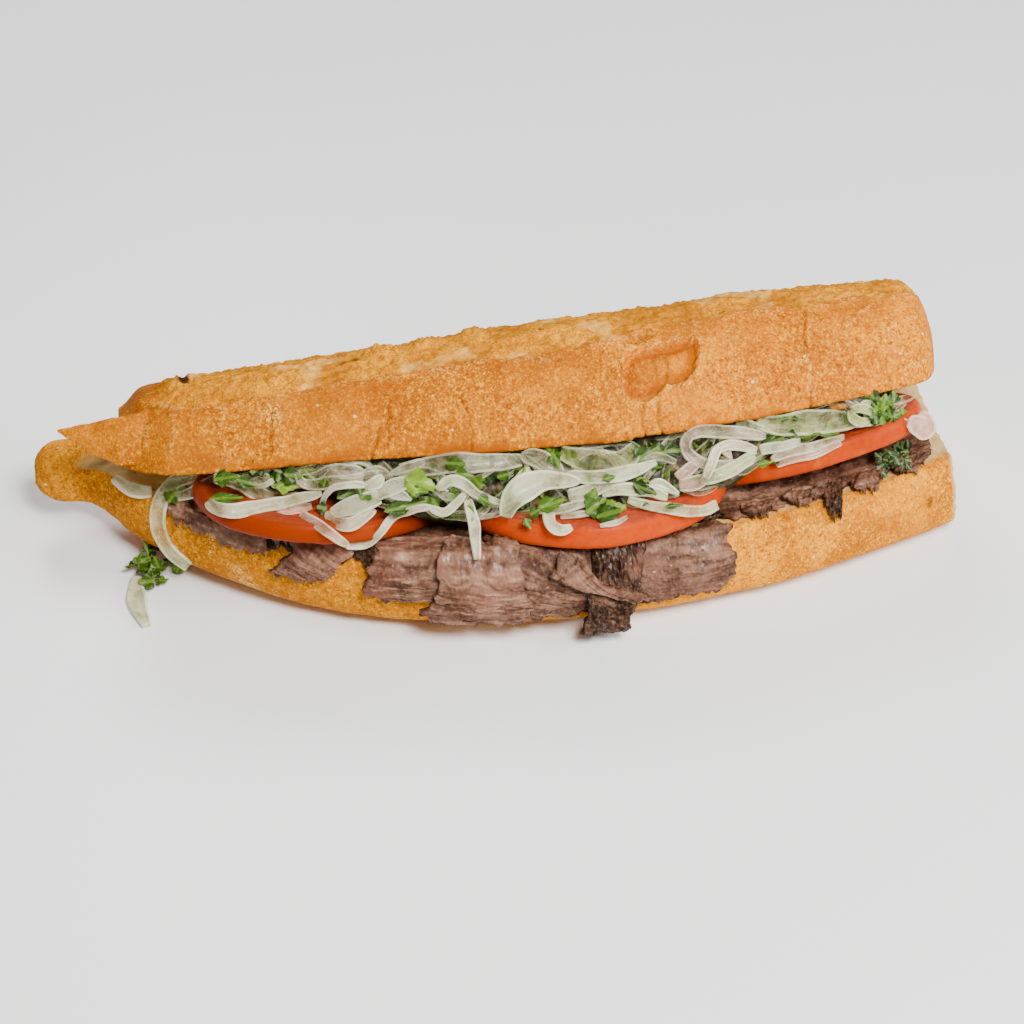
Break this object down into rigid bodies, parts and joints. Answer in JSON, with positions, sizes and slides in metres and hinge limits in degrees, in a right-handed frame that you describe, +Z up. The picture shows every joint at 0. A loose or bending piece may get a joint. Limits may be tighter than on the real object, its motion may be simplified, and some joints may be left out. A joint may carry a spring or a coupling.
{
  "type": "doner kebab sandwich",
  "caption": "Doner kebab sandwich: a slit baguette filled with shaved meat, tomato slices, sliced onion and parsley.",
  "frame": {"origin": "on the flat underside of the loaf's lower half, below the middle of the filling", "axes": "+X along the loaf from its heel to its cut end, +Y from the open front to the closed back, +Z up"},
  "size_m": [0.2696, 0.1021, 0.0722],
  "materials": {
    "bread": "golden crust dusted with flour, pale crumb",
    "tomato": "moist cut tomato with a glossy skin",
    "meat": "moist roasted meat",
    "meat_crisp": "dark roasted crust",
    "onion": "translucent moist onion",
    "parsley": "fresh leaf"
  },
  "bodies": {
    "root": {"bread_lower_half": "bread", "bread_upper_half": "bread", "tomato_slice_left": "tomato", "tomato_slice_middle": "tomato", "tomato_slice_right": "tomato", "meat_layer": "meat", "meat_shaving_broad": "meat", "meat_shaving_dark": "meat_crisp", "meat_shaving_finger": "meat", "meat_shaving_folded": "meat", "meat_shaving_slab": "meat", "meat_shaving_smooth": "meat", "meat_shaving_strap": "meat", "onion_salad": "onion", "onion_strip_hanging": "onion", "onion_petal_fallen": "onion", "parsley_sprig": "parsley"}
  },
  "joints": []
}
